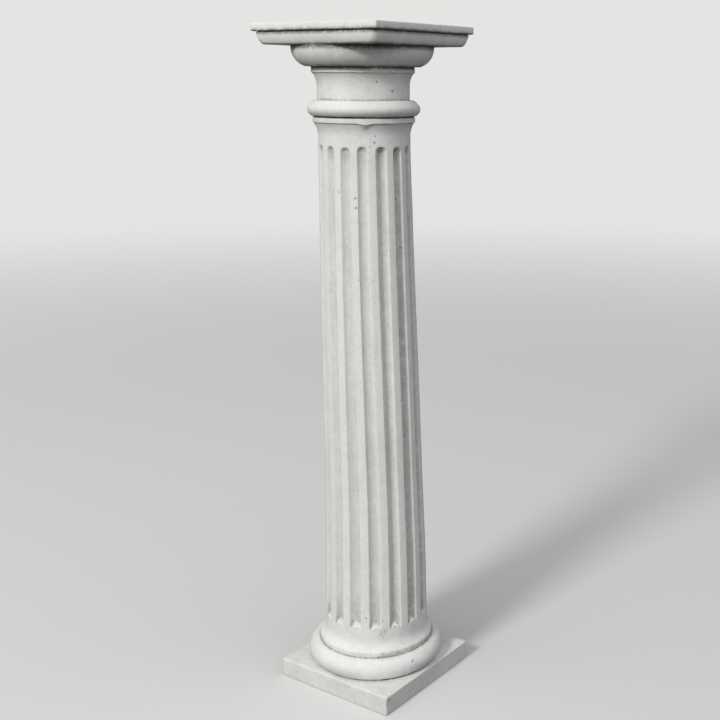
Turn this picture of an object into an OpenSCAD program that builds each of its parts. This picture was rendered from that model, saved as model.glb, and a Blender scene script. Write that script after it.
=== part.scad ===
// Doric column cast in one piece: square plinth, round base mouldings, tapering fluted shaft,
// neck ring and a square moulded top. Millimetres, +Z up. The origin is the centre of the
// underside, and the faces of the plinth and of the top are square to X and Y.

/* [Overall] */
// Height from the underside of the plinth to the flat top
column_h = 1050; // [700:1:1600]

/* [Base] */
// Side of the square plinth
plinth_w = 222; // [215:1:320]
// Thickness of the plinth
plinth_h = 32; // [20:1:60]
// How far the large half-round moulding stands in from the sides of the plinth
torus_in = 0.5; // [0:0.5:10]
// Height of the half-round moulding
torus_h = 35; // [24:1:50]
// How far the half-round is sunk into the plinth, so that they meet in a crease
torus_sink = 1.5; // [0.5:0.1:3]
// How far the half-round rises past the foot of the flat band over it
band_sink = 0.5; // [0.2:0.1:1.5]
// How far the flat band over the half-round stands out past the foot of the shaft
band_out = 8.5; // [5:0.5:14]
// Height of the flat band
band_h = 9; // [4:0.5:16]
// Height of the hollow curve from the flat band up to the shaft
flare_h = 19; // [12:1:40]

/* [Shaft] */
// Diameter of the shaft at its foot, over the flats between the flutes
shaft_foot_d = 170; // [150:1:178]
// Diameter of the shaft at its head
shaft_head_d = 138; // [120:1:147]

/* [Flutes] */
// Number of flutes round the shaft
flute_count = 16; // [8:1:24]
// Angle of the flat left between two flutes
flat_angle = 9.5; // [3:0.25:12]
// Depth of a flute below the line between its two edges, as a share of half its width
flute_depth_share = 0.65; // [0.3:0.01:0.8]
// Angle of a flat past the front corner of the plinth
flute_turn = 4.25; // [-12:0.25:12]
// Plain height of the shaft under the flutes
flute_foot_gap = 19; // [6:1:60]
// Plain height of the shaft over the round heads of the flutes
flute_head_gap = 12; // [4:1:60]
// Slope of the sill at the foot of a flute
sill_slope = 30; // [0:1:55]

/* [Neck] */
// Height of the hollow curve from the shaft up to the lower fillet
lower_cove_h = 21.5; // [12:0.5:40]
// How far that curve swells out
lower_cove_out = 6.5; // [3:0.1:7.5]
// How far the lower fillet stands out past the top of that curve
lower_fillet_out = 1.25; // [0.25:0.25:4]
// Height of the lower fillet
lower_fillet_h = 7.5; // [4:0.5:14]
// How far the neck ring stands out past the lower fillet
ring_out = 7.75; // [5:0.25:12]
// Height of the neck ring
ring_h = 24; // [16:1:30]
// How far the neck ring is sunk into what lies under and over it
ring_sink = 0.5; // [0.2:0.1:1.5]
// Plain height of the neck over the ring
neck_h = 21; // [10:1:60]

/* [Capital] */
// Height of the hollow curve from the neck up to the upper fillet
upper_cove_h = 19; // [12:0.5:40]
// How far that curve swells out
upper_cove_out = 6.4; // [3:0.1:7.5]
// How far the upper fillet stands out past the top of that curve
upper_fillet_out = 1.6; // [0.2:0.2:4]
// Height of the upper fillet
upper_fillet_h = 7.5; // [4:0.5:14]
// How far the quarter-round cushion stands in from the sides of the square slab
cushion_in = 11.5; // [8:0.5:20]
// Radius of the quarter-round cushion
cushion_r = 28.5; // [18:0.5:32]
// Straight height over the quarter-round, under the square top
cushion_lip_h = 2.5; // [1:0.5:8]

/* [Square top] */
// Side of the square slab
slab_w = 234; // [230:1:330]
// Thickness of the slab
slab_h = 11; // [6:0.5:30]
// Depth of the groove under the slab
groove_in = 5; // [2:0.5:10]
// Height of the groove
groove_h = 1.25; // [1:0.25:5]
// How far the square moulding stands in from the sides of the slab, just under the groove
edge_moulding_in = 4; // [1:0.5:8]
// Height of the square moulding
edge_moulding_h = 17.25; // [8:0.25:30]
// Radius of the square moulding's rounded edge
edge_moulding_r = 31; // [18:0.5:40]

/* [Hidden] */
$fn = 128;

// Height of a few clearance cuts beyond the surfaces that they pass through
past = 2;

// Heights of the base, from the underside up
torus_z = plinth_h;
band_z = torus_z + torus_h;
flare_z = band_z + band_h;
shaft_z = flare_z + flare_h;

// Heights of the square top and the capital, from the top down
slab_z = column_h - slab_h;
groove_z = slab_z - groove_h;
edge_moulding_z = groove_z - edge_moulding_h;
cushion_lip_z = edge_moulding_z - cushion_lip_h;
cushion_z = cushion_lip_z - cushion_r;
upper_fillet_z = cushion_z - upper_fillet_h;
upper_cove_z = upper_fillet_z - upper_cove_h;
neck_z = upper_cove_z - neck_h;
ring_z = neck_z - ring_h;
lower_fillet_z = ring_z - lower_fillet_h;
shaft_top_z = lower_fillet_z - lower_cove_h;

// Radii of the round work, from the underside up
torus_r = plinth_w / 2 - torus_in;
shaft_foot_r = shaft_foot_d / 2;
band_r = shaft_foot_r + band_out;
shaft_head_r = shaft_head_d / 2;
lower_fillet_r = shaft_head_r + lower_cove_out + lower_fillet_out;
ring_r = lower_fillet_r + ring_out;
upper_fillet_r = shaft_head_r + upper_cove_out + upper_fillet_out;
cushion_top_r = slab_w / 2 - cushion_in;

// Sides of the square top
groove_w = slab_w - 2 * groove_in;
edge_moulding_w = slab_w - 2 * edge_moulding_in;

// The shaft is a cone, and each flute is a cone that runs to the same tip
taper = (shaft_foot_r - shaft_head_r) / (shaft_top_z - shaft_z);
function shaft_r(z) = shaft_foot_r - taper * (z - shaft_z);

// Flute section at the foot, then as shares of the shaft's radius
flute_half_angle = (360 / flute_count - flat_angle) / 2;
half_chord = shaft_foot_r * sin(flute_half_angle);
flute_depth = flute_depth_share * half_chord;
section_r = (pow(half_chord, 2) + pow(flute_depth, 2)) / (2 * flute_depth);
section_share = section_r / shaft_foot_r;
centre_share = cos(flute_half_angle) + (section_r - flute_depth) / shaft_foot_r;
front_corner_angle = -45;
flute_pitch = 360 / flute_count;

// Ends of the flutes
sill_z = shaft_z + flute_foot_gap;
head_top_z = shaft_top_z - flute_head_gap;
head_z = head_top_z - shaft_head_r * sin(flute_half_angle);
cutter_z = sill_z - past;

// Radius of the arc that rises straight from one end of a cove and swells out by "out" over "high"
function cove_r(high, out) = (pow(high, 2) + pow(out, 2)) / (2 * out);

// Outline of a plain round part, as a rectangle from the axis outwards
module drum(r, z, high) {
    translate([0, z]) square([r, high]);
}

// Outline of a hollow curve: straight at height z_slim, where its radius is r, and widening by
// "out" over the height "high", upwards when up is 1 and downwards when up is -1
module cove(r, z_slim, high, out, up) {
    arc = cove_r(high, out);
    difference() {
        drum(r + out, up > 0 ? z_slim : z_slim - high, high);
        translate([r + arc, z_slim]) circle(arc);
    }
}

// Outline of a half-round moulding with a drum behind it; it is sunk above and below
module half_round(widest_r, z, high, sink_low, sink_high) {
    r = (high + sink_low + sink_high) / 2;
    drum(widest_r - r, z - sink_low, 2 * r);
    translate([widest_r - r, z - sink_low + r]) circle(r);
}

// Outline of the quarter-round cushion with a drum behind it and its straight lip on top
module cushion() {
    core_r = cushion_top_r - cushion_r;
    drum(core_r, cushion_z, cushion_r);
    drum(cushion_top_r, cushion_lip_z, cushion_lip_h);
    translate([core_r, cushion_lip_z])
        intersection() {
            circle(cushion_r);
            translate([0, -cushion_r - past]) square(cushion_r + past);
        }
}

// Outline of the tapering shaft
module shaft_outline() {
    polygon([
        [0, shaft_z],
        [shaft_foot_r, shaft_z],
        [shaft_head_r, shaft_top_z],
        [0, shaft_top_z]
    ]);
}

// Everything round, from the plinth to the underside of the square top
module round_work() {
    rotate_extrude() {
        half_round(torus_r, torus_z, torus_h, torus_sink, band_sink);
        drum(band_r, band_z, band_h);
        cove(shaft_foot_r, shaft_z, flare_h, band_out, -1);
        shaft_outline();
        cove(shaft_head_r, shaft_top_z, lower_cove_h, lower_cove_out, 1);
        drum(lower_fillet_r, lower_fillet_z, lower_fillet_h);
        half_round(ring_r, ring_z, ring_h, ring_sink, ring_sink);
        drum(shaft_head_r, neck_z, neck_h);
        cove(shaft_head_r, upper_cove_z, upper_cove_h, upper_cove_out, 1);
        drum(upper_fillet_r, upper_fillet_z, upper_fillet_h);
        cushion();
    }
}

// One flute's cutter, standing on its own axis: a slim cone with a round head
module flute_capsule(length, foot_r, head_r) {
    rotate_extrude() {
        polygon([[0, 0], [foot_r, 0], [head_r, length], [0, length]]);
        translate([0, length])
            intersection() {
                circle(head_r);
                square(head_r + past);
            }
    }
}

// Block under the sill; its sloping top rises towards the axis from the shaft's surface
module sill_block() {
    side = plinth_w;
    translate([shaft_r(sill_z), 0, sill_z])
        rotate([0, sill_slope, 0])
            translate([-side, -side / 2, -side])
                cube([2 * side, side, side]);
}

// One flute, cut on the +X side of the shaft
module flute() {
    lean = atan(centre_share * taper);
    length = (head_z - cutter_z) / cos(lean);
    difference() {
        translate([centre_share * shaft_r(cutter_z), 0, cutter_z])
            rotate([0, -lean, 0])
                rotate([0, 0, 270])
                    flute_capsule(
                        length,
                        section_share * shaft_r(cutter_z),
                        section_share * shaft_r(head_z)
                    );
        sill_block();
    }
}

module plinth() {
    translate([-plinth_w / 2, -plinth_w / 2, 0])
        cube([plinth_w, plinth_w, plinth_h]);
}

// Cross-section of the square moulding, standing in X and Y
module edge_moulding_outline() {
    core_w = edge_moulding_w / 2 - edge_moulding_r;
    intersection() {
        translate([-edge_moulding_w / 2 - past, edge_moulding_z])
            square([edge_moulding_w + 2 * past, edge_moulding_h]);
        union() {
            translate([-core_w, groove_z - edge_moulding_r])
                square([2 * core_w, 2 * edge_moulding_r]);
            for (side = [-1, 1])
                translate([side * core_w, groove_z]) circle(edge_moulding_r);
        }
    }
}

// The cross-section run through along one level axis; two of them crossed give mitred corners
module edge_moulding_run() {
    rotate([90, 0, 0])
        translate([0, 0, -slab_w / 2])
            linear_extrude(slab_w) edge_moulding_outline();
}

module square_top() {
    translate([-slab_w / 2, -slab_w / 2, slab_z])
        cube([slab_w, slab_w, slab_h]);
    translate([-groove_w / 2, -groove_w / 2, groove_z])
        cube([groove_w, groove_w, groove_h]);
    intersection() {
        edge_moulding_run();
        rotate([0, 0, 90]) edge_moulding_run();
    }
}

// The whole casting
module column() {
    color("gainsboro") {
        plinth();
        rotate([0, 0, front_corner_angle + flute_turn])
            difference() {
                round_work();
                for (i = [0 : flute_count - 1])
                    rotate([0, 0, (i + 0.5) * flute_pitch]) flute();
            }
        square_top();
    }
}

column();
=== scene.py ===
# %% [markdown]
# # A doric garden column in cast stone
#
# The real object is one heavy casting, a little over a metre high. Wet cast stone was tamped into a
# mould, so every edge is soft, the skin is full of small air holes, and a mould seam runs down the
# front. The frame holds the exact CAD solid of the column. This lesson builds the visible skin
# around it: the same sizes, but with the softness, the wear and the dirt of the real casting.

# %% Load the frame
import math

import bmesh
import bpy
import numpy as np
from mathutils import Matrix, Vector, noise


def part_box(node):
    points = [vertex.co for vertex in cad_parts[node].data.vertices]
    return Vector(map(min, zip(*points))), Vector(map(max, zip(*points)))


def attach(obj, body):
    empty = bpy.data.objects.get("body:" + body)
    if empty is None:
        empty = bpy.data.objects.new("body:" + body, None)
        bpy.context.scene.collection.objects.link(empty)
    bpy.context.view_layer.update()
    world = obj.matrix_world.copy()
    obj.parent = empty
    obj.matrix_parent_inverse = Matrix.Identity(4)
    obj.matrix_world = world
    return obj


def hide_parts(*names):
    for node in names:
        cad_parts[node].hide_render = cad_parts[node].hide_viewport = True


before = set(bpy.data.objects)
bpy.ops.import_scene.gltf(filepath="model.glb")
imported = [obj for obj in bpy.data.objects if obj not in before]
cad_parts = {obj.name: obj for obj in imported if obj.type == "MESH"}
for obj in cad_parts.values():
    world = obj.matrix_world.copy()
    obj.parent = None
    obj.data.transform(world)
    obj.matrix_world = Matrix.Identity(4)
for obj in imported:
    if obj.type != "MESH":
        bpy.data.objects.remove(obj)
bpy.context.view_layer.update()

MM = 0.001
low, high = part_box("column")
HEIGHT = (high.z - low.z) / MM
SLAB_HALF = high.x / MM
print("column height", round(HEIGHT, 2), "mm, half of the square top", round(SLAB_HALF, 2), "mm")

# %% [markdown]
# ## The outline of the mouldings
#
# A column is drawn by a single outline that runs from the middle of the underside, up over every
# moulding, to the middle of the top. A mason's template for a column is the same thing. Each point of
# the outline says how wide the column is there, how high it is, and whether it is square or round.
# Between square and round there is always a flat, the top of the plinth or the underside of the
# square top, and there the outline blends from one to the other.
#
# A Spin or Screw modifier could turn such an outline, but it knows nothing of square parts and
# flutes. So the outline is kept as numbers, and the mesh is worked out from it.

# %% An outline that remembers its points
STEP = 0.25  # distance between the points kept, in mm


class Outline:
    """Rows of (radius, half side, height, squareness), with the length travelled so far."""

    def __init__(self, radius, half, z):
        self.rows = [(radius, half, z, 1.0)]
        self.length = [0.0]
        self.marks = {}

    def _add(self, points, length):
        for point in points:
            self.rows.append(tuple(point))
            self.length.append(self.length[-1] + length / len(points))

    def line(self, width, z, square, length=None):
        """A straight leg to a width and a height; width is the half side or the radius."""
        radius, half = self.rows[-1][:2]
        was = np.array(self.rows[-1])
        goal = np.array([radius if square else width, width if square else half, z, square])
        if length is None:
            length = float(np.abs(goal[:3] - was[:3]).max())
        count = max(2, round(length / STEP))
        self._add([was + (goal - was) * (k + 1) / count for k in range(count)], length)

    def arc(self, centre, z, size, start, end, square=0.0):
        """Part of a circle, from one angle to another, in degrees above the level."""
        radius, half = self.rows[-1][:2]
        length = abs(math.radians(end - start)) * size
        count = max(3, round(length / STEP))
        points = []
        for k in range(count):
            a = math.radians(start + (end - start) * (k + 1) / count)
            width = centre + size * math.cos(a)
            height = z + size * math.sin(a)
            points.append((radius if square else width, width if square else half, height, square))
        self._add(points, length)

    def mark(self, name):
        """Remembers a place on the outline by name."""
        self.marks[name] = self.length[-1]


# %% Sizes of the mouldings, in millimetres
PLINTH_HALF, PLINTH_TOP = 111.0, 32.0
TORUS_R, TORUS_CENTRE, TORUS_Z = 18.5, 92.0, 49.0
BAND_R, BAND_TOP = 93.5, 76.0
SHAFT_FOOT_R, SHAFT_FOOT = 85.0, 95.0
SHAFT_HEAD_R, SHAFT_HEAD = 69.0, 889.0
COVE_TOP, COVE_OUT = 910.5, 6.5
FILLET_R, FILLET_TOP = 76.75, 918.0
RING_R, RING_CENTRE, RING_Z = 12.5, 72.0, 930.0
NECK_TOP, UPPER_COVE_TOP, UPPER_COVE_OUT = 963.0, 982.0, 6.4
UPPER_FILLET_R, UPPER_FILLET_TOP = 77.0, 989.5
CUSHION_R, CUSHION_Z, CUSHION_LIP = 28.5, 1018.0, 1020.5
MOULDING_HALF, MOULDING_R, MOULDING_TOP = 113.0, 31.0, 1037.75
GROOVE_HALF, SLAB_FOOT = 110.8, 1039.0
BORDER = 3.0  # width of the square or round strip beside each blend between square and round


def cove_arc(high, out):
    """Radius of a hollow that starts upright and swells out by a given amount."""
    return (high * high + out * out) / (2 * out)


def angle_at(centre, size, width, z=None, centre_z=0.0):
    """Angle of the point of a circle at a given width, or at a given height."""
    if z is None:
        return math.degrees(math.acos((width - centre) / size))
    return math.degrees(math.asin((z - centre_z) / size))


# %% Draw the outline from the underside to the top
CORE = 6.0
foot_circle = TORUS_CENTRE + math.sqrt(TORUS_R**2 - (TORUS_Z - PLINTH_TOP) ** 2)
outline = Outline(foot_circle + BORDER, CORE, 0.0)
outline.line(PLINTH_HALF, 0.0, 1.0)
outline.mark("plinth foot")
outline.line(PLINTH_HALF, PLINTH_TOP, 1.0)
outline.mark("plinth edge")
outline.line(PLINTH_HALF - BORDER, PLINTH_TOP, 1.0)
outline.line(foot_circle + BORDER, PLINTH_TOP, 0.0, length=20.0)
outline.line(foot_circle, PLINTH_TOP, 0.0)
outline.mark("half-round crease")
band_angle = angle_at(TORUS_CENTRE, TORUS_R, BAND_R)
foot_angle = angle_at(TORUS_CENTRE, TORUS_R, 0, PLINTH_TOP, TORUS_Z)
outline.arc(TORUS_CENTRE, TORUS_Z, TORUS_R, foot_angle, band_angle)
outline.mark("band crease")
outline.line(BAND_R, BAND_TOP, 0.0)
outline.mark("band lip")
flare = cove_arc(SHAFT_FOOT - BAND_TOP, BAND_R - SHAFT_FOOT_R)
flare_start = 180 + math.degrees(math.asin((SHAFT_FOOT - BAND_TOP) / flare))
outline.arc(SHAFT_FOOT_R + flare, SHAFT_FOOT, flare, flare_start, 180)
outline.mark("shaft foot")
outline.line(SHAFT_HEAD_R, SHAFT_HEAD, 0.0)
outline.mark("shaft head")
cove = cove_arc(COVE_TOP - SHAFT_HEAD, COVE_OUT)
cove_end = 180 - math.degrees(math.asin((COVE_TOP - SHAFT_HEAD) / cove))
outline.arc(SHAFT_HEAD_R + cove, SHAFT_HEAD, cove, 180, cove_end)
outline.mark("fillet crease")
outline.line(FILLET_R, COVE_TOP, 0.0)
outline.line(FILLET_R, FILLET_TOP, 0.0)
outline.mark("fillet top")
ring_start = angle_at(RING_CENTRE, RING_R, 0, FILLET_TOP, RING_Z)
outline.line(RING_CENTRE + RING_R * math.cos(math.radians(ring_start)), FILLET_TOP, 0.0)
outline.mark("ring foot crease")
outline.arc(RING_CENTRE, RING_Z, RING_R, ring_start, angle_at(RING_CENTRE, RING_R, SHAFT_HEAD_R))
outline.mark("ring top crease")
outline.line(SHAFT_HEAD_R, NECK_TOP, 0.0)
upper = cove_arc(UPPER_COVE_TOP - NECK_TOP, UPPER_COVE_OUT)
upper_end = 180 - math.degrees(math.asin((UPPER_COVE_TOP - NECK_TOP) / upper))
outline.arc(SHAFT_HEAD_R + upper, NECK_TOP, upper, 180, upper_end)
outline.mark("upper fillet crease")
outline.line(UPPER_FILLET_R, UPPER_COVE_TOP, 0.0)
outline.line(UPPER_FILLET_R, UPPER_FILLET_TOP, 0.0)
outline.mark("cushion crease")
outline.arc(UPPER_FILLET_R, CUSHION_Z, CUSHION_R, -90, 0)
outline.line(UPPER_FILLET_R + CUSHION_R, CUSHION_LIP, 0.0)
outline.mark("soffit crease")
moulding_core = MOULDING_HALF - MOULDING_R
moulding_start = angle_at(moulding_core, MOULDING_R, 0, CUSHION_LIP, MOULDING_TOP)
moulding_foot = moulding_core + MOULDING_R * math.cos(math.radians(moulding_start))
lip_circle = UPPER_FILLET_R + CUSHION_R
outline.line(lip_circle + 0.6, CUSHION_LIP, 0.0)
outline.rows[-1] = (lip_circle + 0.6, moulding_foot - 0.8, CUSHION_LIP, 0.0)
outline.line(moulding_foot - 0.8, CUSHION_LIP, 1.0, length=16.0)
outline.line(moulding_foot, CUSHION_LIP, 1.0)
outline.mark("moulding foot")
outline.arc(moulding_core, MOULDING_TOP, MOULDING_R, moulding_start, 0, square=1.0)
outline.line(GROOVE_HALF, MOULDING_TOP, 1.0)
outline.mark("groove foot")
outline.line(GROOVE_HALF, SLAB_FOOT, 1.0)
outline.mark("groove top")
outline.line(SLAB_HALF, SLAB_FOOT, 1.0)
outline.mark("slab foot")
outline.line(SLAB_HALF, HEIGHT, 1.0)
outline.mark("slab edge")
outline.line(CORE, HEIGHT, 1.0)
print("outline is", round(outline.length[-1]), "mm long, kept as", len(outline.rows), "points")

# %% [markdown]
# ## Soft edges and rings
#
# A casting has no sharp edge: the mould rounds it, and weather rounds it more. Averaging each point
# of the outline with its neighbours gives every edge and crease about the same soft radius.
#
# The mesh is made of rings laid along the outline. Evenly spaced rings would waste faces on the
# straight shaft and starve the mouldings, so the spacing follows need: rings lie close where the
# outline bends and at both ends of the flutes, and far apart where nothing changes.

# %% Soften the outline
CRISP, WORN = 0.55, 1.5  # how far an edge is averaged, in mm
rows = np.array(outline.rows)
travel = np.array(outline.length)
even = np.arange(0.0, travel[-1], STEP)
rows = np.stack([np.interp(even, travel, rows[:, k]) for k in range(4)], axis=1)
marks = outline.marks


def softened(size):
    """The outline with each point averaged with its neighbours."""
    reach = np.arange(-24, 25) * STEP
    weights = np.exp(-0.5 * (reach / size) ** 2)
    weights /= weights.sum()
    padded = np.pad(rows, ((24, 24), (0, 0)), mode="edge")
    return np.stack([np.convolve(padded[:, k], weights, mode="valid") for k in range(4)], axis=1)


# how worn each edge is, from 0 for crisp to 1 for worn
EDGES = {
    "plinth foot": 0.5,
    "plinth edge": 0.8,
    "moulding foot": 1.0,
    "slab foot": 0.5,
    "slab edge": 0.7,
}
worn = np.zeros(len(even))
for name, amount in EDGES.items():
    worn = np.maximum(worn, amount * np.exp(-(((even - marks[name]) / 4.0) ** 4)))
rows = softened(CRISP) * (1 - worn[:, None]) + softened(WORN) * worn[:, None]


def outline_at(along):
    """Radius, half side, height and squareness at a distance along the outline."""
    return tuple(np.interp(along, even, rows[:, k]) for k in range(4))


# %% Flutes: sizes and the small differences between them
FLUTES = 16
PITCH = 360.0 / FLUTES
FLAT = 9.5
FLUTE_DEPTH = 6.3
SILL, SILL_SLOPE = 114.0, 38.0
SILL_RISE = 4.5  # how far the sill stands higher in the middle than at its two ends
HEAD_TOP = 877.0
half_angle = math.radians((PITCH - FLAT) / 2)
half_chord = SHAFT_FOOT_R * math.sin(half_angle)
section = (half_chord**2 + FLUTE_DEPTH**2) / (2 * FLUTE_DEPTH)
SECTION_SHARE = section / SHAFT_FOOT_R
CENTRE_SHARE = math.cos(half_angle) + (section - FLUTE_DEPTH) / SHAFT_FOOT_R
HEAD_SPRING = HEAD_TOP - SHAFT_HEAD_R * math.sin(half_angle)
FRONT_CORNER = -45.0
FLAT_TURN = 4.25
DRIFT = 1.8  # in degrees, at the head of the shaft
chance = np.random.default_rng(16)
sill_shift = chance.uniform(-1.0, 1.0, FLUTES)
head_shift = chance.uniform(-1.0, 1.0, FLUTES)
width_share = chance.uniform(0.97, 1.02, FLUTES)


def soft_min(a, b, size):
    """The smaller of two lengths, with the change from one to the other rounded."""
    h = np.clip(0.5 + 0.5 * (b - a) / size, 0.0, 1.0)
    return b + (a - b) * h - size * h * (1.0 - h)


def carve(shaft, degrees, z):
    """Radius of the shaft after the flutes are cut, and how deep the cut is."""
    place = (degrees - FRONT_CORNER - FLAT_TURN) / PITCH
    which = np.floor(place).astype(int) % FLUTES
    off = np.radians((place - np.floor(place) - 0.5) * PITCH) / width_share[which]
    centre = CENTRE_SHARE * shaft
    over = np.maximum(0.0, z - HEAD_SPRING - head_shift[which])
    root = (SECTION_SHARE * shaft) ** 2 - over**2 - (centre * np.sin(off)) ** 2
    hollow = centre * np.cos(off) - np.sqrt(np.maximum(root, 0.0))
    hollow = np.where(root > 0, hollow, shaft + 6.0)
    bulge = SILL_RISE * (0.5 - (off / half_angle) ** 2)
    above_sill = z - SILL - sill_shift[which] - bulge
    sill = shaft - above_sill / math.tan(math.radians(SILL_SLOPE))
    hollow = -soft_min(-hollow, -sill, 0.8)
    cut = soft_min(shaft, hollow, 1.0)
    return cut, shaft - cut


# %% Place the rings where they are needed
middle_z = rows[:, 2]
width = rows[:, 0] * (1 - rows[:, 3]) + rows[:, 1] * rows[:, 3]
heading = np.unwrap(np.arctan2(np.gradient(middle_z), np.gradient(width) + 1e-12))
turning = np.abs(np.gradient(heading)) / STEP
MAX_TURN = math.radians(18)
spacing = np.where((middle_z > SILL + 10) & (middle_z < HEAD_SPRING - 3), 10.0, 5.5)
spacing = np.where((middle_z > SILL - 5) & (middle_z < SILL + 8), 0.85, spacing)
spacing = np.where((middle_z > HEAD_SPRING - 2) & (middle_z < HEAD_TOP + 2.5), 1.0, spacing)
on_cap = (middle_z < 0.2) & (width < 100) | (middle_z > HEIGHT - 0.2) & (width < 100)
spacing = np.where(on_cap, 30.0, spacing)
need = np.cumsum((1.0 / spacing + turning / MAX_TURN) * STEP)
ring_count = int(round(need[-1]))
ring_along = np.interp(np.linspace(need[0], need[-1], ring_count), need, even)
print(ring_count, "rings")

# %% [markdown]
# ## Columns of points round the casting
#
# Round the casting, the points are not evenly spaced either. Every flute has the same pattern: points
# crowd at its two edges, where the surface turns sharply, and spread over its hollow and over the
# flat between two flutes. Sixteen flutes share four sides evenly, four to a side, so the same points
# also make the corners of the square parts.

# %% The pattern of points of one flute
near_flat = [2.2, 3.9, 4.5, 4.95, 5.8, 7.2, 9.0]
pattern = [0.0] + near_flat + [PITCH / 2] + [PITCH - a for a in reversed(near_flat)]
PER_FLUTE = len(pattern)
COLUMNS = PER_FLUTE * FLUTES
column_degrees = np.array([k * PITCH + a for k in range(FLUTES) for a in pattern] + [360.0])
SIDE = COLUMNS // 4
CORNER_STEPS = 4


def round_degrees(turn):
    """Angle round the axis, in degrees, at a place counted in columns of points."""
    return np.interp(turn, np.arange(COLUMNS + 1), column_degrees) + FRONT_CORNER + FLAT_TURN


def square_place(turn, half, corner):
    """Point of a square with rounded corners, at the same count of columns."""
    side = np.floor(turn / SIDE + 0.5)
    step = turn - side * SIDE
    straight = np.clip((np.abs(step) - CORNER_STEPS) / (SIDE / 2 - CORNER_STEPS), 0.0, 1.0)
    bend = np.radians(45.0) * np.clip(np.abs(step) / CORNER_STEPS, 0.0, 1.0)
    mid = half - corner
    # measured from the corner, along the side that the point lies on and out from that side
    out = mid + corner * np.cos(np.radians(45.0) - bend)
    across = (mid + corner * np.sin(np.radians(45.0) - bend)) * (1.0 - straight)
    sign = np.where(step >= 0, 1.0, -1.0)
    facing = np.radians(FRONT_CORNER + 90.0 * side) + sign * np.radians(45.0)
    x = out * np.cos(facing) + sign * across * np.sin(facing)
    y = out * np.sin(facing) - sign * across * np.cos(facing)
    return x, y


def surface(turn, along):
    """Places of points of the skin, in mm, and how deep each lies in a flute."""
    radius, half, z, square = outline_at(along)
    degrees = round_degrees(turn)
    fluted = (z > SILL - 9) & (z < HEAD_TOP + 6)
    cut, depth = carve(radius, degrees, z)
    radius = np.where(fluted, cut, radius)
    depth = np.where(fluted, depth, 0.0)
    corner = np.interp(z, [0, 40, 1020, 1030, 1037, 1040], [3.5, 3.5, 11.0, 10.0, 8.0, 3.0])
    corner = np.minimum(corner, half * 0.3)
    x, y = square_place(turn, half, corner)
    # the flutes beside the mould seam drift sideways as they rise
    rise = np.clip((z - 330) / 350, 0, 1) * np.clip((905 - z) / 25, 0, 1)
    near_seam = (degrees - FRONT_CORNER + 183) % 360 - 180
    a = np.radians(degrees - DRIFT * rise * np.exp(-((near_seam / 20) ** 2)))
    x = x * square + radius * np.cos(a) * (1 - square)
    y = y * square + radius * np.sin(a) * (1 - square)
    return np.stack([x, y, z], axis=1), depth


# %% Lay the rings and columns as a net of faces
net = bmesh.new()
turns = np.arange(COLUMNS) * 2 * math.pi / COLUMNS
rings = []
for along in ring_along:
    rings.append([net.verts.new((math.cos(t), math.sin(t), along)) for t in turns])
for below, above in zip(rings, rings[1:]):
    for k in range(COLUMNS):
        after = (k + 1) % COLUMNS
        net.faces.new((below[k], below[after], above[after], above[k]))
print(len(net.verts), "points and", len(net.faces), "faces before the fine work")


def net_places(mesh):
    """Column count and distance along the outline of every point of the net."""
    co = np.array([v.co for v in mesh.verts])
    turn = np.degrees(np.arctan2(co[:, 1], co[:, 0])) % 360.0 / 360.0 * COLUMNS
    return turn, co[:, 2]


# %% [markdown]
# ## Air holes and small breaks
#
# Air trapped against the mould leaves round holes one to three millimetres across. The larger ones
# are cut into the mesh here, because they catch the light as real hollows; the finest are left to the
# material. The net is too coarse for them, so the faces round each hole are divided first.

# %% Named holes and lumps: angle round the axis, height, size and depth, in mm
HOLES = [
    (-34, 969, 1.5, 1.2),
    (-13, 956, 1.9, 1.6),
    (-36, 990, 2.0, 1.6),
    (-63, 803, 1.6, 1.2),
    (-62, 789, 1.7, 1.2),
    (-59, 754, 1.4, 1.1),
    (-3, 726, 1.6, 1.3),
    (-84, 811, 1.3, 1.0),
    (-61, 682, 1.2, 0.9),
    (-7, 800, 1.3, 0.9),
    (-49, 798, 1.2, 0.8),
    (-37, 892, 1.3, 0.9),
    (-38, 883, 1.6, 1.0),
    (-17.5, 58, 1.9, 2.2),
    (-41, 108, 2.6, 0.8),
    (-46, 103, 2.2, 0.7),
    (-30, 114, 2.2, 0.9),
    (-26, 117, 1.6, 0.8),
    (-62, 133, 1.6, 1.0),
    (-43, 25, 1.8, 1.2),
    (-44.5, 20, 1.5, 1.0),
    (-48, 68, 2.6, 1.4),
    (-46, 66, 2.0, -0.9),
]
SEAM_RUNS = [(96, 130, 7), (560, 700, 13), (852, 890, 7)]
chance = np.random.default_rng(7)
for foot, top, number in SEAM_RUNS:
    for _ in range(number):
        angle = chance.uniform(-45.5, -42.5)
        z = chance.uniform(foot, top)
        HOLES.append((angle, z, 1.0, chance.uniform(0.5, 0.9)))
STRAY_HOLES = 70  # scattered all over the casting
for _ in range(STRAY_HOLES):
    angle = chance.uniform(0, 360)
    z = chance.uniform(8, 1045)
    size = chance.uniform(0.8, 1.4)
    HOLES.append((angle, z, size, chance.uniform(0.5, 1.0)))
holes = np.array(HOLES)


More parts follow.
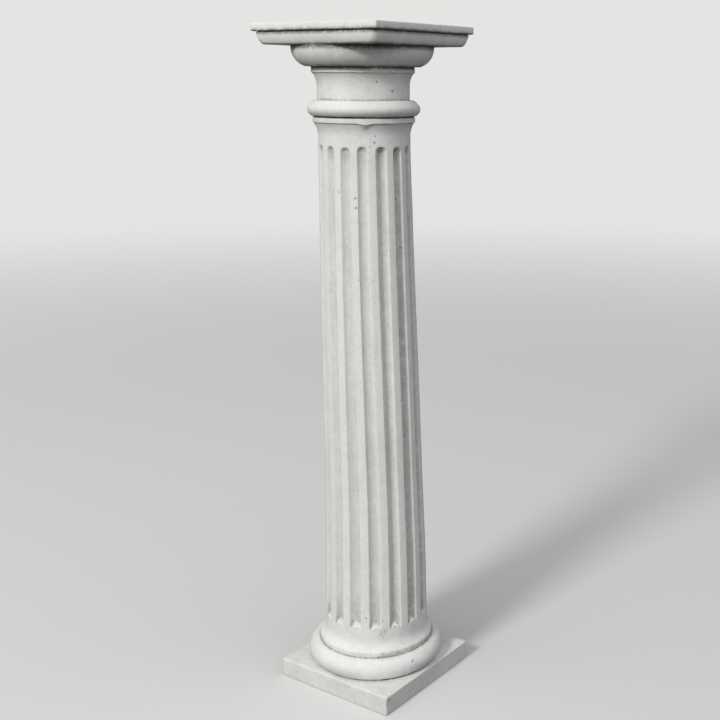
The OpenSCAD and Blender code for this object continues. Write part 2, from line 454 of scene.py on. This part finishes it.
def hole_centres(places):
    """The point of the skin nearest to each hole's angle and height."""
    degrees = np.degrees(np.arctan2(places[:, 1], places[:, 0]))
    wide = np.hypot(places[:, 0], places[:, 1])
    centres = []
    for angle, z, _, _ in holes:
        off = (degrees - angle + 180) % 360 - 180
        gap = (np.radians(off) * wide) ** 2 + (places[:, 2] - z) ** 2
        centres.append(places[np.where(wide > 60, gap, 1e9).argmin()])
    centres = np.array(centres)
    a = np.radians(holes[:, 0])
    flat = np.hypot(centres[:, 0], centres[:, 1])
    on_round = (centres[:, 2] > 40) & (centres[:, 2] < 1015)
    centres[:, 0] = np.where(on_round, flat * np.cos(a), centres[:, 0])
    centres[:, 1] = np.where(on_round, flat * np.sin(a), centres[:, 1])
    centres[:, 2] = holes[:, 1]
    return centres


# %% Divide the faces round each hole twice, and round the named holes once more
turn, along = net_places(net)
places, _ = surface(turn, along)
centres = hole_centres(places)
NAMED = 23  # the first of the list, which are cut more finely
# each round: how far beyond a hole it reaches, as a share of the hole's size, and how many holes it takes
ROUNDS = ((2.6, len(holes)), (1.4, len(holes)), (1.1, NAMED))
for room, number in ROUNDS:
    turn, along = net_places(net)
    places, _ = surface(turn, along)
    net.verts.ensure_lookup_table()
    net.verts.index_update()
    close = np.zeros(len(places), bool)
    for centre, (_, _, size, _) in zip(centres[:number], holes):
        close |= ((places - centre) ** 2).sum(axis=1) < (size * room + 0.8) ** 2
    around = {f for v in net.verts if close[v.index] for f in v.link_faces}
    edges = list({e for f in around for e in f.edges})
    bmesh.ops.subdivide_edges(net, edges=edges, cuts=1, use_grid_fill=True)
print(len(net.faces), "faces after dividing round", len(holes), "holes and lumps")

# %% Work out the skin
turn, along = net_places(net)
places, depth = surface(turn, along)
radius, half, z, square = outline_at(along)
for v, p in zip(net.verts, places):
    v.co = p
for loop_z in (0.0, HEIGHT):
    rim = [e for e in net.edges if e.is_boundary and abs(e.verts[0].co.z - loop_z) < 1.0]
    cap = bmesh.ops.contextual_create(net, geom=rim)["faces"]
    bmesh.ops.poke(net, faces=cap)
bmesh.ops.recalc_face_normals(net, faces=net.faces)
net.normal_update()
skin = bpy.data.meshes.new("column_skin")
net.to_mesh(skin)
net.free()
count = len(skin.vertices)
base = np.zeros(count * 3)
skin.vertices.foreach_get("co", base)
base = base.reshape(-1, 3)
normals = np.zeros(count * 3)
skin.vertex_normals.foreach_get("vector", normals)
normals = normals.reshape(-1, 3)
extra = count - len(turn)
turn, along, depth = (np.append(a, [a[0] * 0] * extra) for a in (turn, along, depth))
along[-extra:] = [0.0, even[-1]][:extra]
radius, half, z, square = outline_at(along)
print(count, "points in the skin;", extra, "at the middle of the caps")

# %% [markdown]
# ## The hand of the caster
#
# A cast column is never quite true. The skin swells and dips by a few tenths of a millimetre, the
# shaft leans a little off its axis between the plinth and the square top, and a mould seam stands up
# as a low rough line down the front. All of this goes into the points of the mesh.

# %% Push the skin along its own normals
degrees = np.degrees(np.arctan2(base[:, 1], base[:, 0]))
wide = np.hypot(base[:, 0], base[:, 1])


def rough(size, seed):
    """Smooth random swells of a given size in mm, from -1 to 1."""
    shift = Vector((seed * 3.7, seed * 1.3, seed * 7.1))
    return np.array([noise.noise(Vector(p) / size + shift) for p in base])


def bell(value, size):
    """1 at nothing, falling away over a size."""
    return np.exp(-((value / size) ** 2))


def around_axis(angle):
    """Distance along the skin from an angle round the axis, in mm."""
    return np.radians((degrees - angle + 180) % 360 - 180) * wide


push = 0.30 * rough(45.0, 1) + 0.14 * rough(14.0, 2) + 0.07 * rough(5.0, 3)
seam = np.interp(base[:, 2], [85, 100, 890, 905], [-47, -44, -44, -48.5])
seam_line = bell(around_axis(seam + 0.8 * rough(60.0, 4)), 1.3)
ragged = np.zeros(count)
RAGGED = {
    "slab foot": 0.8,
    "groove top": 0.8,
    "groove foot": 0.9,
    "cushion crease": 0.45,
    "ring foot crease": 0.45,
    "upper fillet crease": 0.35,
    "band lip": 0.35,
}
for name, amount in RAGGED.items():
    ragged = np.maximum(ragged, amount * bell(along - marks[name], 2.0))
push += ragged * (rough(5.0, 9) + rough(2.5, 10))
# water and frost eat into the creases: how far above each one, how deep and how wide, in mm
EATEN = {
    "ring foot crease": (1.4, 1.5, 1.9),
    "cushion crease": (2.5, 1.6, 3.0),
    "half-round crease": (0.9, 0.8, 1.3),
    "band crease": (0.6, 0.5, 1.2),
}
for name, (above, deep, size) in EATEN.items():
    push -= deep * (1 + 0.5 * rough(12.0, 11)) * bell(along - marks[name] - above, size)
push += seam_line * (0.20 + 0.25 * rough(6.0, 5)) * np.where(square > 0.5, 0.4, 1.0)
pit = np.zeros(count)
for centre, (_, _, size, deep) in zip(centres, holes):
    gap = np.sqrt(((base - centre) ** 2).sum(axis=1))
    near = gap < size * 2.2
    push[near] -= deep * np.exp(-((gap[near] / (size * 0.8)) ** 4))
    # the holes are painted dark: the shade inside them and the dirt they hold
    if deep > 0:
        dark = np.clip(1.8 * deep - 0.9, 0.15, 1.0) if size < 2 else 0.35
        pit[near] = np.maximum(pit[near], dark * bell(gap[near], size * 0.95))
moved = base + normals * push[:, None]

# %% Lean of the round work, and the slack waist of the shaft
lean_z = np.array([0, 32, 67, 105, 210, 315, 556, 682, 913, 1018, 1050.0])
lean = np.array([0, 0, 1.2, 2.5, 3.3, 3.1, 0, -1.4, -2.6, -2.6, 0.0])
LEAN_WAY = np.array([0.769, 0.639])  # the way it leans, seen from above
moved[:, :2] += (np.interp(base[:, 2], lean_z, lean) * (1 - square))[:, None] * LEAN_WAY
dip = bell(around_axis(-49), 7.5) * bell(base[:, 2] - 910, 3.5)
moved[:, 2] -= 2.4 * dip
waist = -0.9 * bell(base[:, 2] - 350, 90) - 1.9 * bell(base[:, 2] - 938.5, 4.0)
waist -= 0.9 * bell(base[:, 2] - 921.5, 3.0)
moved[:, :2] *= (1 + waist * (1 - square) / np.maximum(wide, 1))[:, None]
print("skin pushed by", round(float(push.min()), 2), "to", round(float(push.max()), 2), "mm")

# %% [markdown]
# ## Where dirt settles and shade is painted
#
# Rain carries dirt into every crease and leaves it there, and the same masks paint the shade
# that falls in the creases, under the square top and at the ends of the flutes. Each crease has its
# own reach and strength, so the mesh carries masks: one number per point that the material reads. A
# mask in the mesh is exact and quick, and it bakes like any other value.

# %% Masks for the creases, the flutes and the underside of the square top: dirt and painted shade
# each crease: how far the dirt and painted shade reach below it and above it, in mm, and how strong they
# are
CREASES = {
    "half-round crease": (1.5, 2.6, 1.0),
    "band crease": (1.4, 2.2, 0.55),
    "band lip": (1.0, 1.0, 0.15),
    "fillet crease": (1.5, 1.2, 0.45),
    "ring foot crease": (1.4, 3.6, 1.0),
    "ring top crease": (1.3, 1.5, 0.6),
    "upper fillet crease": (1.3, 1.3, 0.4),
    "cushion crease": (1.5, 11.0, 1.0),
    "soffit crease": (6.0, 3.0, 1.0),
    "moulding foot": (2.0, 2.0, 0.5),
    "groove foot": (5.0, 1.0, 1.0),
    "groove top": (1.0, 3.0, 1.0),
    "slab foot": (1.0, 2.0, 0.9),
}
crease = np.zeros(count)
for name, (below, above, strength) in CREASES.items():
    past = along - marks[name]
    crease = np.maximum(crease, strength * bell(past, np.where(past < 0, below, above)))
# the crease over the plinth is darker on one side of the seam, the band is greyer there: dirt, with
# painted shade on the side away from the lamp
past_seam = np.clip(around_axis(-47) / 4, 0, 1) * (around_axis(100) < 0)
crease *= np.where((along < marks["band crease"] - 20) & (past_seam < 0.5), 0.6, 1.0)
# a wider, fainter grey round the creases that hold most dirt, partly painted shade in them and under the
# square top
smudge_and_shade = (0.12 + 0.55 * past_seam) * bell(along - marks["band crease"] - 3, 6.0)
smudge_and_shade = np.maximum(smudge_and_shade, 0.45 * bell(along - marks["half-round crease"], 6.0))
smudge_and_shade = np.maximum(smudge_and_shade, 0.9 * past_seam * bell(along - marks["half-round crease"] - 0.5, 2.6))
smudge_and_shade = np.maximum(smudge_and_shade, 0.8 * bell(along - marks["cushion crease"] - 8, 6.0))
front = 0.4 + 0.5 * bell(around_axis(-54), 14)
smudge_and_shade = np.maximum(smudge_and_shade, front * bell(along - marks["ring foot crease"] - 1.5, 5.0))
smudge_and_shade = np.maximum(smudge_and_shade, 0.3 * bell(along - marks["ring top crease"] - 2, 4.0))
smudge_and_shade = np.maximum(smudge_and_shade, 0.35 * bell(along - marks["moulding foot"] - 1, 4.0))
# painted shadow and dirt under the lump on the lower fillet, at the seam
smudge_and_shade = np.maximum(smudge_and_shade, 0.9 * bell(around_axis(-48.5), 5.0) * bell(base[:, 2] - 904.5, 3.5))
# painted shade and dirt on the top of the cushion, under the square top's overhang
under = 0.5 * bell(np.maximum(0, marks["soffit crease"] - along), 11.0) * bell(around_axis(-42), 60)
smudge_and_shade = np.maximum(smudge_and_shade, np.where(along < marks["soffit crease"], under, 0))
# the underside of the square top is painted dark brown: its shade and its dirt
soffit = ((along > marks["soffit crease"] - 3) & (along < marks["moulding foot"])).astype(float)
soffit *= bell(around_axis(-40), 75)
hollow = np.clip(depth / FLUTE_DEPTH, 0, 1)
# the heads and feet of the flutes are darkened: dirt, and painted shade under the arches and in the
# corners
head = hollow * bell(np.minimum(0, base[:, 2] - 872), 12)
foot = hollow * bell(np.maximum(0, base[:, 2] - 121), 26)
foot = np.maximum(foot, 0.5 * bell(around_axis(-42), 12) * bell(base[:, 2] - 106, 12))
foot = np.maximum(foot, 0.5 * bell(around_axis(-14), 16) * bell(base[:, 2] - 106, 12))
# painted shadow and dirt under the lump on the lower fillet, at the seam
lump_shadow_and_stain = 0.5 * bell(around_axis(-48.5), 4.5) * bell(base[:, 2] - 904.5, 3.2)
# painted shade: a dark tail runs down the shaded side of each flute's foot
place = (degrees - FRONT_CORNER - FLAT_TURN) / PITCH
off = (place - np.floor(place) - 0.5) * math.radians(PITCH) / half_angle
tail_shade = bell(off + 0.78, 0.22) * bell(base[:, 2] - SILL, 9) * np.clip(depth * 2, 0, 1)
masks = {
    "crease": crease,
    "smudge_and_shade": smudge_and_shade,
    "soffit": soffit,
    "hollow": hollow,
    "head": head,
    "foot": foot,
    "pit": np.maximum(pit, lump_shadow_and_stain),
    # darker round the neck under the capital: stain and painted shade
    "neck": bell(base[:, 2] - 966, 17),
    "tail_shade": tail_shade,
    "low": (base[:, 2] < PLINTH_TOP + 2) * 1.0,
    # painted shade and grime in the flutes on the side away from the lamp
    "rough": hollow * bell(around_axis(12), 48),
}
for name, values in masks.items():
    mask = skin.attributes.new(name, "FLOAT", "POINT")
    mask.data.foreach_set("value", values.astype(np.float32))

# %% Put the skin in place of the CAD solid
skin.vertices.foreach_set("co", (moved * MM).ravel())
skin.update()
for polygon in skin.polygons:
    polygon.use_smooth = True
column = bpy.data.objects.new("column_stone", skin)
bpy.context.scene.collection.objects.link(column)
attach(column, "root")
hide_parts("column")
triangles = sum(len(p.vertices) - 2 for p in skin.polygons)
print("column_stone has", triangles, "triangles")

# %% [markdown]
# ## Shader maths in plain Python
#
# A material is a graph of nodes, and a long sum built node by node is hard to read. This class wraps
# one socket, so that `1 - mask * 0.5` adds its Math nodes by itself. Everything else, from a noise
# texture to the final shader, comes from `make`.


# %% A socket that can be added, taken away and multiplied
class Mix:
    """One output of a node in a material."""

    def __init__(self, tree, socket):
        self.tree = tree
        self.socket = socket

    def _sum(self, operation, first, second):
        return make(self.tree, "ShaderNodeMath", {"operation": operation}, {0: first, 1: second})

    def __add__(self, other):
        return self._sum("ADD", self, other)

    __radd__ = __add__

    def __mul__(self, other):
        return self._sum("MULTIPLY", self, other)

    __rmul__ = __mul__

    def __sub__(self, other):
        return self._sum("SUBTRACT", self, other)

    def __rsub__(self, other):
        return self._sum("SUBTRACT", other, self)


def make(tree, kind, settings=None, inputs=None, output=0):
    """Adds a node: settings first, then the values or links of its sockets."""
    node = tree.nodes.new(kind)
    for name, value in (settings or {}).items():
        setattr(node, name, value)
    for name, value in (inputs or {}).items():
        if isinstance(value, Mix):
            tree.links.new(value.socket, node.inputs[name])
        else:
            node.inputs[name].default_value = value
    return Mix(tree, node.outputs[output]) if len(node.outputs) else node


def grade(tree, value, start, end):
    """0 below start, 1 above end, and a smooth rise between them."""
    settings = {"interpolation_type": "SMOOTHSTEP", "clamp": True}
    values = {"Value": value, "From Min": start, "From Max": end}
    return make(tree, "ShaderNodeMapRange", settings, values)


def blend(tree, amount, first, second):
    """One colour over another."""
    settings = {"data_type": "RGBA", "clamp_factor": True}
    return make(tree, "ShaderNodeMix", settings, {0: amount, 6: first, 7: second}, output=2)


# %% [markdown]
# ## Cast stone
#
# Cast stone is crushed pale stone and cement. Close up it is a fine sand with darker grains; from a
# step away it is pale grey-white with soft clouds. Water runs leave faint upright streaks, and the
# creases hold grey to brown dirt in patches. The same grey and brown also paint the shade in the
# creases, the air holes, the ends of the flutes and under the square top. The colour is built in
# that order, from the clean stone outwards to the dirt and the painted shade.

# %% Read the masks and the place on the stone
stone = bpy.data.materials.new("cast_stone")
stone.use_nodes = True
tree = stone.node_tree
tree.nodes.clear()
spot = make(tree, "ShaderNodeTexCoord", output="Object")


def mask(name):
    return make(tree, "ShaderNodeAttribute", {"attribute_name": name}, output="Fac")


def noisy(scale, detail=3.0, roughness=0.55, place=None):
    values = {"Vector": place or spot, "Scale": scale, "Detail": detail, "Roughness": roughness}
    return make(tree, "ShaderNodeTexNoise", None, values, output="Fac")


upright = make(tree, "ShaderNodeMapping", None, {"Vector": spot, "Scale": (1.0, 1.0, 0.07)})
clouds = noisy(14.0, 5.0, 0.65)
mottle = noisy(90.0, 5.0, 0.7)
grain = noisy(900.0, 2.0, 0.6)
specks = noisy(420.0, 2.0, 0.7)
streaks = noisy(190.0, 3.0, 0.6, upright)
patches = noisy(45.0, 4.0, 0.7)
crumbs = noisy(260.0, 3.0, 0.65)

# %% Colour, from clean stone to dirt and painted shade
CLEAN = (0.80, 0.805, 0.79, 1)
CLOUDED = (0.735, 0.74, 0.715, 1)
STAINED_AND_SHADED = (0.60, 0.60, 0.56, 1)
STREAK = (0.52, 0.51, 0.47, 1)
GREY_DIRT_AND_SHADE = (0.30, 0.29, 0.265, 1)
BROWN_DIRT_AND_SHADE = (0.13, 0.105, 0.08, 1)
DARK_GRAIN = (0.45, 0.445, 0.42, 1)
colour = blend(tree, grade(tree, clouds * 0.45 + mottle * 0.55, 0.42, 0.64), CLEAN, CLOUDED)
stained_and_shaded = mask("hollow") * (grade(tree, clouds * 0.6 + mottle * 0.4, 0.30, 0.62) * 0.45 + 0.35)
# the neck under the capital is darker: stain and painted shade
stained_and_shaded = stained_and_shaded + mask("neck") * grade(tree, clouds * 0.5 + patches * 0.5, 0.36, 0.60) * 0.35
stained_and_shaded = stained_and_shaded + mask("low") * grade(tree, clouds * 0.5 + patches * 0.5, 0.40, 0.62) * 0.30
colour = blend(tree, stained_and_shaded, colour, STAINED_AND_SHADED)
colour = blend(tree, grade(tree, grain, 0.60, 0.78) * 0.35, colour, DARK_GRAIN)
colour = blend(tree, grade(tree, specks, 0.60, 0.74) * (mask("hollow") * 0.3 + 0.25), colour, GREY_DIRT_AND_SHADE)
run = grade(tree, streaks, 0.48, 0.70) * (mask("hollow") * 0.30 + 0.10)
colour = blend(tree, run, colour, STREAK)
# painted shade and dirt at the flute ends and in the flutes away from the lamp
ends_dirt_and_shade = mask("head") * 0.95 + mask("foot") * 0.6 + mask("rough") * 0.6
colour = blend(tree, ends_dirt_and_shade * grade(tree, patches * 0.5 + crumbs * 0.5, 0.34, 0.60), colour, GREY_DIRT_AND_SHADE)
# a wider grey round the creases and under the square top: dirt and painted shade
smudged_and_shaded = mask("smudge_and_shade") * grade(tree, patches * 0.7 + crumbs * 0.3, 0.30, 0.62)
colour = blend(tree, smudged_and_shaded, colour, GREY_DIRT_AND_SHADE)
# the creases: dirt and painted shade
settled_dirt_and_shade = mask("crease") * (grade(tree, patches * 0.5 + crumbs * 0.5, 0.32, 0.56) * 0.7 + 0.3)
colour = blend(tree, grade(tree, settled_dirt_and_shade, 0.05, 0.50) * 0.8, colour, GREY_DIRT_AND_SHADE)
colour = blend(tree, grade(tree, settled_dirt_and_shade, 0.35, 0.85) * 0.85, colour, BROWN_DIRT_AND_SHADE)
# painted shade and dirt under the square top
colour = blend(tree, mask("soffit") * grade(tree, patches, 0.3, 0.6) * 0.85, colour, BROWN_DIRT_AND_SHADE)
# painted shade down one side of each flute's foot
colour = blend(tree, mask("tail_shade") * grade(tree, crumbs, 0.30, 0.50) * 0.8, colour, BROWN_DIRT_AND_SHADE)
# holes: painted shade and dirt
colour = blend(tree, mask("pit") * 0.85, colour, BROWN_DIRT_AND_SHADE)

# %% Fine pores, sand and the shader
pores = make(tree, "ShaderNodeTexVoronoi", None, {"Vector": spot, "Scale": 170.0}, output="Distance")
# the pores are painted darker: the shade and the dirt in them
pore = (1 - grade(tree, pores, 0.05, 0.16)) * grade(tree, patches, 0.50, 0.62)
colour = blend(tree, pore * 0.6, colour, GREY_DIRT_AND_SHADE)
relief = grain * 0.35 + specks * 0.3 + crumbs * 0.6 + mottle * 0.5 - pore * 0.8
bump = make(tree, "ShaderNodeBump", None, {"Strength": 0.7, "Distance": 0.0008, "Height": relief})
shader = make(
    tree,
    "ShaderNodeBsdfPrincipled",
    None,
    {"Base Color": colour, "Roughness": grain * 0.12 + 0.82, "Normal": bump, "Specular IOR Level": 0.25},
)
make(tree, "ShaderNodeOutputMaterial", None, {"Surface": shader})
skin.materials.append(stone)
print("cast_stone has", len(tree.nodes), "nodes")

# %% [markdown]
# ## Floor, backdrop and light
#
# The column stands on a plain pale floor that fades into a backdrop of the same tone. One soft lamp
# high on the left shapes the flutes, and a pale sky fills the shadows.

# %% Floor
net = bmesh.new()
bmesh.ops.create_circle(net, cap_ends=True, segments=96, radius=9.0)
ground = bpy.data.meshes.new("floor")
net.to_mesh(ground)
net.free()
floor = bpy.data.objects.new("floor", ground)
floor.location.z = low.z
bpy.context.scene.collection.objects.link(floor)
paper = bpy.data.materials.new("floor_paper")
paper.use_nodes = True
tree = paper.node_tree
tree.nodes.clear()
BACKDROP = (0.78, 0.78, 0.77, 1)
spot = make(tree, "ShaderNodeTexCoord", output="Object")
far = make(tree, "ShaderNodeVectorMath", {"operation": "LENGTH"}, {0: spot}, output="Value")
PALE, DIM = (0.74, 0.74, 0.73, 1), (0.10, 0.10, 0.10, 1)
seen = make(tree, "ShaderNodeLightPath", output="Is Camera Ray")
matt = make(tree, "ShaderNodeBsdfDiffuse", None, {"Color": blend(tree, seen, DIM, PALE)})
clear = make(tree, "ShaderNodeBsdfTransparent")
shown = make(tree, "ShaderNodeMixShader", None, {0: grade(tree, far, 1.6, 6.5), 1: matt, 2: clear})
make(tree, "ShaderNodeOutputMaterial", None, {"Surface": shown})
ground.materials.append(paper)

# %% Sky and backdrop
world = bpy.data.worlds.new("studio")
bpy.context.scene.world = world
world.use_nodes = True
tree = world.node_tree
tree.nodes.clear()
seen = make(tree, "ShaderNodeLightPath", output="Is Camera Ray")
glossy = make(tree, "ShaderNodeLightPath", output="Is Glossy Ray")
through = make(tree, "ShaderNodeLightPath", output="Is Transmission Ray")
FRONT = (0.58, -0.81, 0.10)  # the way from the column to the front of the studio
way = make(tree, "ShaderNodeTexCoord", output="Generated")
facing = {"operation": "DOT_PRODUCT"}
ahead = make(tree, "ShaderNodeVectorMath", facing, {0: way, 1: FRONT}, output="Value")
height = make(tree, "ShaderNodeSeparateXYZ", None, {0: way}, output="Z")
fill = (grade(tree, ahead, -0.35, 0.35) * 0.62 + 0.23) * grade(tree, height, -0.08, 0.08)
sky = make(tree, "ShaderNodeBackground", None, {"Color": (0.975, 0.99, 1.0, 1), "Strength": fill})
backdrop = make(tree, "ShaderNodeBackground", None, {"Color": BACKDROP, "Strength": 1.0})
either = make(tree, "ShaderNodeMath", {"operation": "MAXIMUM"}, {0: seen, 1: glossy})
either = make(tree, "ShaderNodeMath", {"operation": "MAXIMUM"}, {0: either, 1: through})
both = make(tree, "ShaderNodeMixShader", None, {0: either, 1: sky, 2: backdrop})
make(tree, "ShaderNodeOutputWorld", None, {"Surface": both})

# %% The lamp
target = Vector((0, 0, HEIGHT * MM * 0.55))
LAMP_DISTANCE, LAMP_HEIGHT, LAMP_ANGLE = 7.0, 33.0, -91.0
LAMP_WIDTH, LAMP_POWER = 1.5, 275.0
a, e = math.radians(LAMP_ANGLE), math.radians(LAMP_HEIGHT)
away = Vector((math.cos(a) * math.cos(e), math.sin(a) * math.cos(e), math.sin(e)))
lamp_data = bpy.data.lights.new("soft_lamp", "AREA")
lamp_data.shape = "DISK"
lamp_data.size = LAMP_WIDTH
lamp_data.energy = LAMP_POWER
lamp_data.color = (1.0, 0.985, 0.96)
lamp = bpy.data.objects.new("soft_lamp", lamp_data)
lamp.location = target + away * LAMP_DISTANCE
lamp.rotation_euler = (-away).to_track_quat("-Z", "Y").to_euler()
bpy.context.scene.collection.objects.link(lamp)

# %% [markdown]
# ## Camera
#
# The camera stands about one and a half column heights away, a little below the top, and looks
# slightly down at the front corner of the plinth.

# %% Camera
H = HEIGHT * MM
DISTANCE, EYE = 1.6131 * H, 0.9275 * H  # how far off the camera stands, and how high
AZIMUTH = math.radians(39.74)
ASIDE, DOWN, ROLL = math.radians(6.3047), math.radians(14.3816), math.radians(0.4827)
camera_data = bpy.data.cameras.new("camera")
camera_data.sensor_width = 36.0
camera_data.lens = 54.7
camera_data.shift_x = -0.177
camera = bpy.data.objects.new("camera", camera_data)
stand = Vector((math.sin(AZIMUTH) * DISTANCE, -math.cos(AZIMUTH) * DISTANCE, EYE))
place = Matrix.Translation(stand)
turned = Matrix.Rotation(AZIMUTH - ASIDE, 4, "Z")
tilted = Matrix.Rotation(math.radians(90) - DOWN, 4, "X")
rolled = Matrix.Rotation(ROLL, 4, "Z")
camera.matrix_world = place @ turned @ tilted @ rolled
bpy.context.scene.collection.objects.link(camera)
bpy.context.scene.camera = camera
bpy.context.scene.view_settings.view_transform = "Standard"
